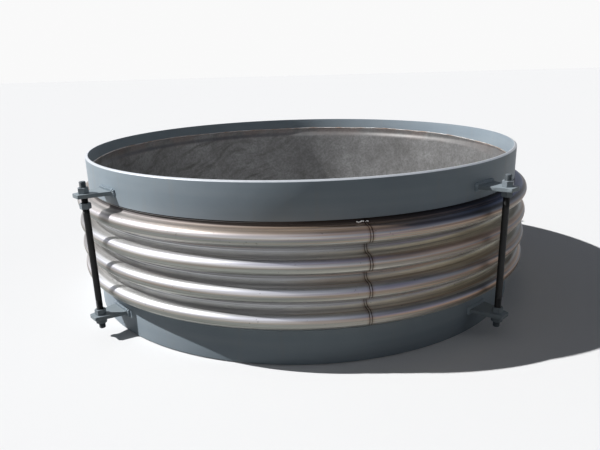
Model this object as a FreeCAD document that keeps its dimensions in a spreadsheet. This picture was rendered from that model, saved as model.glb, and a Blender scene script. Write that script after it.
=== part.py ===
"""A metal bellows expansion joint for a 1600 mm duct: two rolled weld ends joined by a four-wave
bellows, with a flow liner inside and four limit rods held by nuts in eight lugs.

Millimetres, +Z up. The origin is on the axis, in the plane of the lower end face, and -Y is the front.
Every size is a cell of the sheet named Sizes, and every piece takes its sizes from those cells.
"""

import FreeCAD
import Part
import math
import os

import Sketcher

SIZES = {
    "pipe_od": (1620, "outside diameter of both weld ends"),
    "pipe_wall": (10, "wall of the weld ends"),
    "end_length": (110, "height of each weld end"),
    "weld_land": (3, "flat left at the rim by the weld bevel"),
    "weld_bevel": (4, "height of the weld bevel on the outside of the rim"),
    "bellows_pitch": (80, "height of one wave"),
    "bellows_waves": (4, "number of waves"),
    "bellows_sheet": (1.5, "thickness of the bellows sheet"),
    "wave_height": (55, "from the inside of a root to the outside of a crest"),
    "crest_radius": (23, "outside radius of a crest's curve"),
    "cuff_length": (28, "straight collar of the bellows inside each weld end"),
    "seam_gap": (0.3, "room between a collar and the bore that it is welded into"),
    "liner_sheet": (3, "thickness of the flow liner"),
    "liner_drop": (48, "depth of the liner's top edge below the upper rim"),
    "liner_cuff": (20, "straight collar at the top of the liner"),
    "liner_step": (10, "how far the liner steps in below its collar"),
    "liner_slope": (15, "height over which it steps in"),
    "liner_foot": (86, "height of the liner's free lower edge"),
    "lug_plate": (12, "thickness of the lug plates"),
    "lug_inset": (66, "depth of a lug's outer face from its end of the joint"),
    "lug_reach": (100, "how far a lug stands out from the weld end"),
    "lug_root": (90, "width of a lug where it is welded on"),
    "lug_tip": (46, "width of a lug at its outer end"),
    "lug_corner": (5, "rounding of a lug's outer corners"),
    "rod_reach": (73, "from the weld end's face to a rod's axis"),
    "rod_size": (20, "diameter of the limit rods"),
    "rod_room": (2, "radial room for a rod in its lug's hole"),
    "rod_overhang": (18, "length of rod beyond its end nuts"),
    "rod_chamfer": (2, "chamfer on the rod's ends"),
    "nut_flats": (30, "width of a nut across its flats"),
    "nut_height": (18, "height of a nut"),
    "nut_bevel": (30, "slope of the bevel at a nut's corners, in degrees"),
    "nut_gap": (0.05, "radial room between a nut and its rod"),
    "stop_gap": (18, "how far the stop nut is run back from its lug"),
}

# The four rods, by the angle of each from +X.
CORNERS = {"front_left": 225, "front_right": 315, "rear_right": 45, "rear_left": 135}
LOCKED_CORNER = "front_right"  # the rod whose upper inner nut is still run up against its lug
CUT_CLEAR = 1.1  # how far a cut runs past a corner, as a share of the corner's own radius

document = FreeCAD.newDocument("BellowsJoint")
sheet = document.addObject("Spreadsheet::Sheet", "Sizes")
for row, (alias, (number, note)) in enumerate(SIZES.items(), start=1):
    sheet.set(f"A{row}", note)
    sheet.set(f"B{row}", str(number))
    sheet.setAlias(f"B{row}", alias)
document.recompute()


class Size:
    """A length worked out from the sheet: its number now, and the expression that keeps it up to date."""

    def __init__(self, number, text):
        self.number = float(number)
        self.text = text

    def combine(self, other, sign, number):
        text = other.text if isinstance(other, Size) else repr(other)
        return Size(number, f"({self.text} {sign} {text})")

    def __add__(self, other):
        return self.combine(other, "+", self.number + number_of(other))

    def __sub__(self, other):
        return self.combine(other, "-", self.number - number_of(other))

    def __mul__(self, other):
        return self.combine(other, "*", self.number * number_of(other))

    def __truediv__(self, other):
        return self.combine(other, "/", self.number / number_of(other))

    def __neg__(self):
        return self * -1.0


def number_of(value):
    return value.number if isinstance(value, Size) else float(value)


def cell(alias):
    return Size(float(sheet.get(alias)), f"Sizes.{alias}")


# ---- Radii and heights that several pieces share

outer = cell("pipe_od") / 2
bore = outer - cell("pipe_wall")
bellows_length = cell("bellows_pitch") * cell("bellows_waves")
overall = cell("end_length") * 2 + bellows_length
upper_end_foot = cell("end_length") + bellows_length
rod_circle = outer + cell("rod_reach")
collar = bore - cell("seam_gap")  # outside radius of the bellows' and the liner's collars

lower_lug_top = cell("lug_inset") + cell("lug_plate")
upper_lug_top = overall - cell("lug_inset")
upper_lug_foot = upper_lug_top - cell("lug_plate")

ZERO = cell("pipe_wall") * 0


# ---- Sketches and features

def new_body(label):
    body = document.addObject("PartDesign::Body", label)
    body.Label = label
    return body


def new_sketch(body, plane, name):
    sketch = body.newObject("Sketcher::SketchObject", name)
    origin = next(item for item in body.Origin.OriginFeatures if item.Role == plane)
    sketch.AttachmentSupport = [(origin, "")]
    sketch.MapMode = "FlatFace"
    return sketch


def bind(sketch, kind, elements, size):
    """A dimension of the sketch, bound to a size of the sheet."""
    index = sketch.addConstraint(Sketcher.Constraint(kind, *elements, size.number))
    name = f"size_{index}"
    sketch.renameConstraint(index, name)
    sketch.setExpression(f"Constraints.{name}", size.text)


def fix_point(sketch, geometry, position, x, y):
    bind(sketch, "DistanceX", (-1, 1, geometry, position), x)
    bind(sketch, "DistanceY", (-1, 1, geometry, position), y)


def vector(x, y):
    return FreeCAD.Vector(number_of(x), number_of(y), 0)


def add_outline(sketch, corners):
    """A closed outline of straight sides through these corners, each an (x, y) pair of sizes."""
    first = len(sketch.Geometry)
    count = len(corners)
    for index, corner in enumerate(corners):
        following = corners[(index + 1) % count]
        sketch.addGeometry(Part.LineSegment(vector(*corner), vector(*following)), False)
    for index in range(count):
        following = first + (index + 1) % count
        sketch.addConstraint(Sketcher.Constraint("Coincident", first + index, 2, following, 1))
    for index, (x, y) in enumerate(corners):
        fix_point(sketch, first + index, 1, x, y)


def add_circle(sketch, x, y, radius):
    geometry = Part.Circle(vector(x, y), FreeCAD.Vector(0, 0, 1), radius.number)
    index = sketch.addGeometry(geometry, False)
    fix_point(sketch, index, 3, x, y)
    bind(sketch, "Radius", (index,), radius)


def revolve(body, sketch, name):
    feature = body.newObject("PartDesign::Revolution", name)
    feature.Profile = sketch
    feature.ReferenceAxis = (sketch, ["V_Axis"])
    feature.Angle = 360
    return feature


def pad(body, sketch, height, name):
    feature = body.newObject("PartDesign::Pad", name)
    feature.Profile = sketch
    feature.setExpression("Length", height.text)
    return feature


def pocket_up(body, sketch, name):
    """A cut through the whole body, upwards from the sketch's plane."""
    feature = body.newObject("PartDesign::Pocket", name)
    feature.Profile = sketch
    feature.Type = "ThroughAll"
    feature.Reversed = True
    return feature


def turned_body(label, corners):
    """A piece turned about the joint's axis, from its half section: x is the radius and y the height."""
    body = new_body(label)
    sketch = new_sketch(body, "XZ_Plane", f"{label}_section")
    add_outline(sketch, corners)
    revolve(body, sketch, f"{label}_turned")
    return body


def place(body, x, y, z, turn=0):
    """Sets the body's place, with x, y and z as sizes and turn in degrees about +Z."""
    body.Placement = FreeCAD.Placement(
        FreeCAD.Vector(x.number, y.number, z.number),
        FreeCAD.Rotation(FreeCAD.Vector(0, 0, 1), turn),
    )
    for axis, size in (("x", x), ("y", y), ("z", z)):
        body.setExpression(f"Placement.Base.{axis}", size.text)


# ---- Weld ends: plate rolled into a ring, with its outer rim bevelled for the butt weld

def weld_end(label, rim, inner_end, inwards):
    """inwards is +1 where the ring runs up from its rim, and -1 where it runs down."""
    land = bore + cell("weld_land")
    bevel_foot = rim + cell("weld_bevel") * float(inwards)
    turned_body(
        label,
        [(bore, rim), (land, rim), (outer, bevel_foot), (outer, inner_end), (bore, inner_end)],
    )


# ---- Bellows: one sheet with straight collars, formed into waves of flat flanks and round crests and roots

def add_arc(sketch, x, y, radius, start, end):
    """An arc about a bound centre; its angles are in degrees, and it runs anticlockwise."""
    circle = Part.Circle(vector(x, y), FreeCAD.Vector(0, 0, 1), radius.number)
    arc = Part.ArcOfCircle(circle, math.radians(start), math.radians(end))
    index = sketch.addGeometry(arc, False)
    fix_point(sketch, index, 3, x, y)
    bind(sketch, "Radius", (index,), radius)
    return index


def bellows(label):
    body = new_body(label)
    sheet_wall = cell("bellows_sheet")
    root_face = collar
    crest_face = root_face - sheet_wall + cell("wave_height")
    crest_curve = cell("crest_radius")
    root_curve = cell("bellows_pitch") / 2 - crest_curve  # outside of the sheet, where it is hollow
    crest_centre = crest_face - crest_curve
    root_centre = root_face + root_curve
    foot = cell("end_length")
    middle = foot + cell("bellows_pitch") / 2
    top = foot + cell("bellows_pitch")

    section = new_sketch(body, "XZ_Plane", "wave_section")
    outside = wave_side(
        section, root_centre, root_curve, crest_centre, crest_curve, foot, middle, top
    )
    inside = wave_side(
        section,
        root_centre,
        root_curve + sheet_wall,
        crest_centre,
        crest_curve - sheet_wall,
        foot,
        middle,
        top,
    )
    for position, height in (("foot", foot), ("top", top)):
        ends = (outside[position], inside[position])
        a, b = (section.getPoint(*end) for end in ends)
        index = section.addGeometry(Part.LineSegment(a, b), False)
        section.addConstraint(Sketcher.Constraint("Coincident", index, 1, *ends[0]))
        section.addConstraint(Sketcher.Constraint("Coincident", index, 2, *ends[1]))
    revolve(body, section, "wave")
    document.recompute()

    waves = body.newObject("PartDesign::LinearPattern", "waves")
    waves.Originals = [document.getObject("wave")]
    waves.Direction = (section, ["V_Axis"])
    waves.setExpression("Length", (bellows_length - cell("bellows_pitch")).text)
    waves.setExpression("Occurrences", "Sizes.bellows_waves")
    body.Tip = waves

    cuff = cell("cuff_length")
    inner_face = root_face - sheet_wall
    for name, low, high in (
        ("lower_collar", foot - cuff, foot),
        ("upper_collar", upper_end_foot, upper_end_foot + cuff),
    ):
        sketch = new_sketch(body, "XZ_Plane", f"{name}_section")
        add_outline(
            sketch,
            [(inner_face, low), (root_face, low), (root_face, high), (inner_face, high)],
        )
        body.Tip = revolve(body, sketch, name)


def wave_side(sketch, root_x, root_radius, crest_x, crest_radius, foot, middle, top):
    """One side of a wave's sheet, from root to crest to root. Returns where its two ends are."""
    low_root = add_arc(sketch, root_x, foot, root_radius, 90, 180)
    high_root = add_arc(sketch, root_x, top, root_radius, 180, 270)
    crest = add_arc(sketch, crest_x, middle, crest_radius, -90, 90)
    low_flank = sketch.addGeometry(
        Part.LineSegment(sketch.getPoint(low_root, 1), sketch.getPoint(crest, 1)), False
    )
    high_flank = sketch.addGeometry(
        Part.LineSegment(sketch.getPoint(high_root, 2), sketch.getPoint(crest, 2)), False
    )
    joins = (
        (low_root, 1, low_flank, 1),
        (crest, 1, low_flank, 2),
        (high_root, 2, high_flank, 1),
        (crest, 2, high_flank, 2),
    )
    for join in joins:
        sketch.addConstraint(Sketcher.Constraint("Tangent", *join))
    for root, end in ((low_root, 2), (high_root, 1)):
        sketch.addConstraint(Sketcher.Constraint("Horizontal", root, end, root, 3))
    return {"foot": (low_root, 2), "top": (high_root, 1)}


# ---- Flow liner: a stainless sleeve welded into the upper end, free at the bottom

def flow_liner(label):
    wall = cell("liner_sheet")
    top = overall - cell("liner_drop")
    cuff_foot = top - cell("liner_cuff")
    slope_foot = cuff_foot - cell("liner_slope")
    body_face = collar - cell("liner_step")
    foot = cell("liner_foot")
    turned_body(
        label,
        [
            (collar, top),
            (collar, cuff_foot),
            (body_face, slope_foot),
            (body_face, foot),
            (body_face - wall, foot),
            (body_face - wall, slope_foot),
            (collar - wall, cuff_foot),
            (collar - wall, top),
        ],
    )


# ---- Lugs: flame-cut plates, wider at the weld, each with one hole for its rod

def lug(label, foot, turn):
    body = new_body(label)
    buried = bore  # well inside the weld end, and cut back to its face below
    tip = outer + cell("lug_reach")
    half_root = cell("lug_root") / 2
    half_tip = cell("lug_tip") / 2
    outline = new_sketch(body, "XY_Plane", f"{label}_outline")
    add_outline(
        outline,
        [(buried, -half_root), (tip, -half_tip), (tip, half_tip), (buried, half_root)],
    )
    plate = pad(body, outline, cell("lug_plate"), f"{label}_plate")
    document.recompute()

    corners = body.newObject("PartDesign::Fillet", f"{label}_corners")
    corners.Base = (plate, tip_edges(plate.Shape, tip.number))
    corners.setExpression("Radius", cell("lug_corner").text)

    cuts = new_sketch(body, "XY_Plane", f"{label}_cuts")
    add_circle(cuts, rod_circle, ZERO, cell("rod_size") / 2 + cell("rod_room"))
    pocket_up(body, cuts, f"{label}_hole")
    scoop = new_sketch(body, "XY_Plane", f"{label}_scoop")
    add_circle(scoop, ZERO, ZERO, outer)
    body.Tip = pocket_up(body, scoop, f"{label}_root")
    place(body, ZERO, ZERO, foot, turn)


def tip_edges(shape, reach):
    """The names of the upright edges at the lug's outer end."""
    names = []
    for index, edge in enumerate(shape.Edges, start=1):
        box = edge.BoundBox
        if box.XMin > reach - 0.01 and box.ZLength > 0.01:
            names.append(f"Edge{index}")
    return names


# ---- Limit rods and their hexagon nuts

def at_corner(corner):
    """Where a rod's axis stands, as a pair of sizes."""
    angle = math.radians(CORNERS[corner])
    return rod_circle * math.cos(angle), rod_circle * math.sin(angle)


nut_height = cell("nut_height")
NUT_FEET = {
    "lower_outer_nut": cell("lug_inset") - nut_height,
    "lower_inner_nut": lower_lug_top,
    "upper_inner_nut": upper_lug_foot - nut_height,
    "upper_outer_nut": upper_lug_top,
}
rod_foot = NUT_FEET["lower_outer_nut"] - cell("rod_overhang")
rod_top = NUT_FEET["upper_outer_nut"] + nut_height + cell("rod_overhang")


def limit_rod(label, corner):
    radius = cell("rod_size") / 2
    chamfer = cell("rod_chamfer")
    length = rod_top - rod_foot
    body = turned_body(
        label,
        [
            (ZERO, ZERO),
            (radius - chamfer, ZERO),
            (radius, chamfer),
            (radius, length - chamfer),
            (radius - chamfer, length),
            (ZERO, length),
        ],
    )
    x, y = at_corner(corner)
    place(body, x, y, rod_foot)


def hexagon_nut(label, corner, foot):
    body = new_body(label)
    half_flats = cell("nut_flats") / 2
    corner_radius = cell("nut_flats") / math.sqrt(3)
    hexagon = new_sketch(body, "XY_Plane", f"{label}_hexagon")
    points = [
        (corner_radius * math.cos(math.radians(a)), corner_radius * math.sin(math.radians(a)))
        for a in range(0, 360, 60)
    ]
    add_outline(hexagon, points)
    pad(body, hexagon, nut_height, f"{label}_block")

    bevels = new_sketch(body, "XZ_Plane", f"{label}_bevels")
    clear = corner_radius * CUT_CLEAR
    drop = (clear - half_flats) * math.tan(math.radians(cell("nut_bevel").number))
    for face, inner in ((ZERO, drop), (nut_height, nut_height - drop)):
        add_outline(bevels, [(half_flats, face), (clear, face), (clear, inner)])
    groove = body.newObject("PartDesign::Groove", f"{label}_bevelled")
    groove.Profile = bevels
    groove.ReferenceAxis = (bevels, ["V_Axis"])
    groove.Angle = 360

    thread = new_sketch(body, "XY_Plane", f"{label}_thread")
    add_circle(thread, ZERO, ZERO, cell("rod_size") / 2 + cell("nut_gap"))
    body.Tip = pocket_up(body, thread, f"{label}_bored")
    x, y = at_corner(corner)
    place(body, x, y, foot, CORNERS[corner])


# ---- The joint put together

weld_end("lower_weld_end", ZERO, cell("end_length"), +1)
weld_end("upper_weld_end", overall, upper_end_foot, -1)
bellows("bellows")
flow_liner("flow_liner")
for corner, turn in CORNERS.items():
    lug(f"lower_lug_{corner}", cell("lug_inset"), turn)
    lug(f"upper_lug_{corner}", upper_lug_foot, turn)
    limit_rod(f"limit_rod_{corner}", corner)
    for nut, foot in NUT_FEET.items():
        run_back = nut == "upper_inner_nut" and corner != LOCKED_CORNER
        hexagon_nut(f"{nut}_{corner}", corner, foot - cell("stop_gap") if run_back else foot)
document.recompute()

# ---- Checks, and one STEP file for each piece

failed = [item.Name for item in document.Objects if {"Invalid", "Error"} & set(item.State)]
if failed:
    raise SystemExit(f"these objects failed to rebuild: {failed}")
pieces = [item for item in document.Objects if item.TypeId == "PartDesign::Body"]
for piece in pieces:
    shape = piece.Shape
    if shape.isNull() or not shape.isValid() or len(shape.Solids) != 1:
        raise SystemExit(f"{piece.Label} isn't one valid solid")

os.makedirs("parts", exist_ok=True)
for piece in pieces:
    piece.Shape.exportStep(f"parts/{piece.Label}.step")
    box = piece.Shape.BoundBox
    print(
        f"{piece.Label:28s} {piece.Shape.Volume / 1000:10.1f} cm3"
        f"  x {box.XMin:8.1f} {box.XMax:8.1f}  z {box.ZMin:7.1f} {box.ZMax:7.1f}"
    )
print(len(pieces), "pieces")
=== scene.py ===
import math

import bmesh
import bpy
import numpy as np
from mathutils import Matrix, Vector


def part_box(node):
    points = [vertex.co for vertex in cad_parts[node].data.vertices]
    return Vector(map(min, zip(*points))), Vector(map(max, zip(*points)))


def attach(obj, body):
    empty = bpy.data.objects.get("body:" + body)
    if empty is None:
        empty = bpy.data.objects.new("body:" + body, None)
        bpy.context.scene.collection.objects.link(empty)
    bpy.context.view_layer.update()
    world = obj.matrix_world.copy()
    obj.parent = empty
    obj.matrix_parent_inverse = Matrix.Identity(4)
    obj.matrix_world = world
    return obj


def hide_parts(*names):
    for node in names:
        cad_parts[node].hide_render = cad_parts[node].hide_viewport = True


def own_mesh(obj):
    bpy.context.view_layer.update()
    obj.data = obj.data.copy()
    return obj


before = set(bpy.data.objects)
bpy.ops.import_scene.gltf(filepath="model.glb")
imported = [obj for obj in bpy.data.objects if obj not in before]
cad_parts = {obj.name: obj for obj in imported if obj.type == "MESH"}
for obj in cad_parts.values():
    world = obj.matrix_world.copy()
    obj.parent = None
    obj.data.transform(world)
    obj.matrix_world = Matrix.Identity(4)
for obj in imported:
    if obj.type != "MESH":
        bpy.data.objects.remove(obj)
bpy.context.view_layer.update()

scene = bpy.context.scene


# ---- Weld ends
# Two rings of carbon steel plate, rolled round and butt welded at the back. The open rim of each is
# ground to a bevel for the weld to the duct, and the rings are sprayed with blue-grey primer.

ring_foot, ring_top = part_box("lower_weld_end")
joint_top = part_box("upper_weld_end")[1].z
pipe_radius = ring_top.x
pipe_wall = 0.010
bore = pipe_radius - pipe_wall
end_length = ring_top.z - ring_foot.z
rim_land = 0.003
rim_bevel = 0.004
edge_softness = 0.0008


def softened(corners, reach, steps=3):
    """The closed outline with each corner rounded off, from reach before it to reach after it."""
    outline = []
    for index, corner in enumerate(corners):
        corner = Vector(corner)
        before = Vector(corners[index - 1]) - corner
        after = Vector(corners[(index + 1) % len(corners)]) - corner
        start = corner + before.normalized() * min(reach, before.length / 3)
        end = corner + after.normalized() * min(reach, after.length / 3)
        for step in range(steps + 1):
            share = step / steps
            outline.append(start.lerp(corner, share).lerp(corner.lerp(end, share), share))
    return outline


def new_piece(name, mesh, sharp=35):
    """A piece with this mesh: faces outwards, and smooth but for edges sharper than the angle given."""
    shape = bmesh.new()
    shape.from_mesh(mesh)
    bmesh.ops.remove_doubles(shape, verts=shape.verts, dist=1e-6)
    bmesh.ops.recalc_face_normals(shape, faces=shape.faces)
    shape.to_mesh(mesh)
    shape.free()
    mesh.shade_smooth()
    mesh.set_sharp_from_angle(angle=math.radians(sharp))
    piece = bpy.data.objects.new(name, mesh)
    scene.collection.objects.link(piece)
    return piece


def looped_mesh(name, rows):
    """A closed shell through rows of points, each a closed loop. The last row joins the first."""
    row_count, loop_count = len(rows), len(rows[0])
    faces = []
    for row in range(row_count):
        following = (row + 1) % row_count
        for step in range(loop_count):
            onward = (step + 1) % loop_count
            faces.append(
                (
                    row * loop_count + step,
                    row * loop_count + onward,
                    following * loop_count + onward,
                    following * loop_count + step,
                )
            )
    mesh = bpy.data.meshes.new(name)
    mesh.from_pydata([point for row in rows for point in row], [], faces)
    return mesh


def turned_mesh(name, outline, around, strain=lambda angle, height: (0, 0)):
    """The outline of (radius, height) points swept round the axis. strain moves a point out and up."""
    rows = []
    for radius, height in outline:
        row = []
        for step in range(around):
            angle = math.tau * step / around
            out, up = strain(angle, height)
            spread = radius + out
            row.append((spread * math.cos(angle), spread * math.sin(angle), height + up))
        rows.append(row)
    return looped_mesh(name, rows)


class Nodes:
    """Adds nodes to a tree. Inputs are given by name or number, as values or as sockets to link."""

    def __init__(self, tree):
        self.tree = tree

    def add(self, kind, inputs=(), **settings):
        node = self.tree.nodes.new(kind)
        for setting, value in settings.items():
            setattr(node, setting, value)
        for key, value in dict(inputs).items():
            if isinstance(value, bpy.types.NodeSocket):
                self.tree.links.new(value, node.inputs[key])
            else:
                node.inputs[key].default_value = value
        return node

    def maths(self, operation, *values):
        return self.add("ShaderNodeMath", enumerate(values), operation=operation).outputs[0]

    def plus(self, *values):
        return self.maths("ADD", *values)

    def minus(self, *values):
        return self.maths("SUBTRACT", *values)

    def times(self, *values):
        return self.maths("MULTIPLY", *values)

    def scaled(self, value, factor, more):
        """The value times the factor, with more added."""
        return self.maths("MULTIPLY_ADD", value, factor, more)

    def between(self, value, low, high):
        """0 where the value is at low, 1 where it is at high, and even in between."""
        inputs = {"Value": value, "From Min": low, "From Max": high}
        return self.add("ShaderNodeMapRange", inputs).outputs["Result"]

    def split(self, vector):
        return self.add("ShaderNodeSeparateXYZ", {0: vector}).outputs

    def join(self, *values):
        return self.add("ShaderNodeCombineXYZ", enumerate(values)).outputs[0]

    def stretch(self, vector, x, y, z):
        return self.add("ShaderNodeMapping", {"Vector": vector, "Scale": (x, y, z)}).outputs[0]

    def noise(self, vector, scale, detail=3.0, roughness=0.5):
        inputs = {"Vector": vector, "Scale": scale, "Detail": detail, "Roughness": roughness}
        return self.add("ShaderNodeTexNoise", inputs).outputs[0]

    def blend(self, share, first, second, how="MIX"):
        """One colour into another by share. Each is a socket or three numbers."""
        inputs = {0: share}
        for key, colour in ((6, first), (7, second)):
            inputs[key] = colour if isinstance(colour, bpy.types.NodeSocket) else (*colour, 1)
        settings = {"data_type": "RGBA", "blend_type": how}
        return self.add("ShaderNodeMix", inputs, **settings).outputs[2]

    def ramp(self, share, stops):
        """A colour from its (place, colour) stops."""
        node = self.add("ShaderNodeValToRGB", {"Fac": share})
        elements = node.color_ramp.elements
        elements.remove(elements[1])
        elements[0].position, elements[0].color = stops[0][0], (*stops[0][1], 1)
        for place, colour in stops[1:]:
            elements.new(place).color = (*colour, 1)
        return node.outputs["Color"]

    def bump(self, height, depth, strength=1.0, normal=None):
        inputs = {"Height": height, "Distance": depth, "Strength": strength}
        if normal is not None:
            inputs["Normal"] = normal
        return self.add("ShaderNodeBump", inputs).outputs["Normal"]

    def surface(self, inputs):
        shader = self.add("ShaderNodeBsdfPrincipled", inputs)
        self.add("ShaderNodeOutputMaterial", {"Surface": shader.outputs[0]})


def new_finish(name):
    """An empty material, its nodes, and the coordinates of the piece that it is on."""
    finish = bpy.data.materials.new(name)
    finish.use_nodes = True
    finish.node_tree.nodes.clear()
    nodes = Nodes(finish.node_tree)
    return finish, nodes, nodes.add("ShaderNodeTexCoord").outputs["Object"]


def sprayed_primer(name, tone, dark_tone, orange_peel=0.00025):
    """Sprayed primer, patchy and a little dusty, with the fine dimples of a quick spray."""
    finish, nodes, place = new_finish(name)
    patches = nodes.between(nodes.noise(place, 2.6, 5, 0.6), 0.36, 0.66)
    colour = nodes.blend(patches, dark_tone, tone)
    passes = nodes.noise(nodes.stretch(place, 1.2, 1.2, 22), 1.4, 2)
    overspray = nodes.times(nodes.between(passes, 0.45, 0.7), 0.25)
    colour = nodes.blend(overspray, colour, (0.44, 0.49, 0.52))
    runs = nodes.noise(nodes.stretch(place, 30, 30, 2.2), 1, 3, 0.6)
    dust = nodes.times(nodes.between(runs, 0.55, 0.8), 0.3)
    colour = nodes.blend(dust, colour, (0.38, 0.37, 0.34))
    specks = nodes.noise(place, 240, 2, 0.7)
    colour = nodes.blend(nodes.between(specks, 0.74, 0.8), colour, (0.09, 0.10, 0.11))
    dimples = nodes.noise(place, 330, 2)
    gloss = nodes.between(nodes.noise(place, 5, 4, 0.6), 0.3, 0.75)
    roughness = nodes.scaled(gloss, 0.16, 0.44)
    rolled = nodes.bump(nodes.noise(place, 7, 2), 0.004, 0.35)
    nodes.surface(
        {
            "Base Color": colour,
            "Roughness": roughness,
            "Specular IOR Level": 0.25,
            "Normal": nodes.bump(dimples, orange_peel, 0.5, rolled),
        }
    )
    return finish


def ground_edge(name):
    """The weld bevel: ground bright, then dusted with primer."""
    finish, nodes, place = new_finish(name)
    scratches = nodes.noise(nodes.stretch(place, 60, 60, 900), 1, 2, 0.6)
    colour = nodes.blend(scratches, (0.42, 0.45, 0.48), (0.80, 0.82, 0.84))
    nodes.surface(
        {
            "Base Color": colour,
            "Metallic": 0.35,
            "Roughness": 0.42,
            "Normal": nodes.bump(scratches, 0.0002, 0.6),
        }
    )
    return finish


ring_primer = sprayed_primer("ring_primer", (0.34, 0.405, 0.455), (0.29, 0.345, 0.395))
bevel_steel = ground_edge("bevel_steel")


butt_weld_turn = math.radians(112)


def rolling_error(angle, height):
    """How far a rolled ring is out of round, with a slight flat each side of its butt weld."""
    flat = math.exp(-((math.remainder(angle - butt_weld_turn, math.tau) / 0.05) ** 2))
    return 0.0004 * math.sin(2 * angle + 0.7) + 0.0002 * math.sin(5 * angle) - 0.0006 * flat - 0.0006, 0


def weld_end(name, rim, inner_end):
    """One ring. Its bevelled rim is at the open end, and the other end meets the bellows."""
    inwards = math.copysign(1, inner_end - rim)
    corners = [
        (bore, rim),
        (bore + rim_land, rim),
        (pipe_radius, rim + rim_bevel * inwards),
        (pipe_radius, inner_end),
        (bore, inner_end),
    ]
    mesh = turned_mesh(name, softened(corners, edge_softness), 360, rolling_error)
    piece = new_piece(name, mesh, 25)
    piece.data.materials.append(ring_primer)
    piece.data.materials.append(bevel_steel)
    for face in piece.data.polygons:
        middle = math.hypot(face.center.x, face.center.y)
        if abs(face.center.z - rim) < rim_bevel and middle > bore + edge_softness / 2:
            face.material_index = 1
    return piece


lower_ring = weld_end("lower_ring", ring_foot.z, ring_top.z)
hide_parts("lower_weld_end")
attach(lower_ring, "lower_end")
upper_ring = weld_end("upper_ring", joint_top, joint_top - end_length)
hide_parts("upper_weld_end")
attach(upper_ring, "upper_end")


# ---- Bellows
# One stainless sheet, rolled and seam welded, then pressed into four waves with a straight collar at
# each end. The collars are welded inside the rings, and the welding has tinted the sheet.

sheet = 0.0015
waves = 4
wave_stack = joint_top - 2 * end_length
wave_pitch = wave_stack / waves
collar_gap = 0.0003
root_radius = bore - collar_gap
crest_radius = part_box("bellows")[1].x
root_curve = 0.017
collar_length = ring_top.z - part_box("bellows")[0].z


def new_tree(name, inputs):
    """A Geometry Nodes tree with these named inputs: each has its kind of socket and its usual value."""
    tree = bpy.data.node_groups.new(name, "GeometryNodeTree")
    tree.interface.new_socket("Geometry", in_out="INPUT", socket_type="NodeSocketGeometry")
    for label, (kind, value) in inputs.items():
        socket = tree.interface.new_socket(label, in_out="INPUT", socket_type="NodeSocket" + kind)
        socket.default_value = value
    tree.interface.new_socket("Finish", in_out="INPUT", socket_type="NodeSocketMaterial")
    tree.interface.new_socket("Geometry", in_out="OUTPUT", socket_type="NodeSocketGeometry")
    nodes = Nodes(tree)
    return nodes, nodes.add("NodeGroupInput").outputs


def end_tree(nodes, geometry, finish):
    real = nodes.add("GeometryNodeRealizeInstances", {"Geometry": geometry}).outputs[0]
    dressed = nodes.add("GeometryNodeSetMaterial", {"Geometry": real, "Material": finish})
    nodes.add("NodeGroupOutput", {"Geometry": dressed.outputs[0]})


def made_by(nodes, name, values, start=None, sharp=35):
    """What the tree makes of the start mesh with these values, as a plain piece."""
    holder = bpy.data.objects.new(name, start or bpy.data.meshes.new(name))
    scene.collection.objects.link(holder)
    modifier = holder.modifiers.new(name, "NODES")
    modifier.node_group = nodes.tree
    for item in nodes.tree.interface.items_tree:
        if item.in_out == "INPUT" and item.name in values:
            modifier[item.identifier] = values[item.name]
    evaluated = holder.evaluated_get(bpy.context.evaluated_depsgraph_get())
    mesh = bpy.data.meshes.new_from_object(evaluated)
    holder.modifiers.clear()
    bpy.data.objects.remove(holder)
    return new_piece(name, mesh, sharp)


WAVE_INPUTS = {
    "Waves": ("Int", waves),
    "Pitch": ("Float", wave_pitch),
    "Root radius": ("Float", root_radius),
    "Crest radius": ("Float", crest_radius),
    "Root curve": ("Float", root_curve),
    "Foot": ("Float", end_length),
    "Collar": ("Float", collar_length),
    "Steps": ("Int", 6),
}


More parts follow.
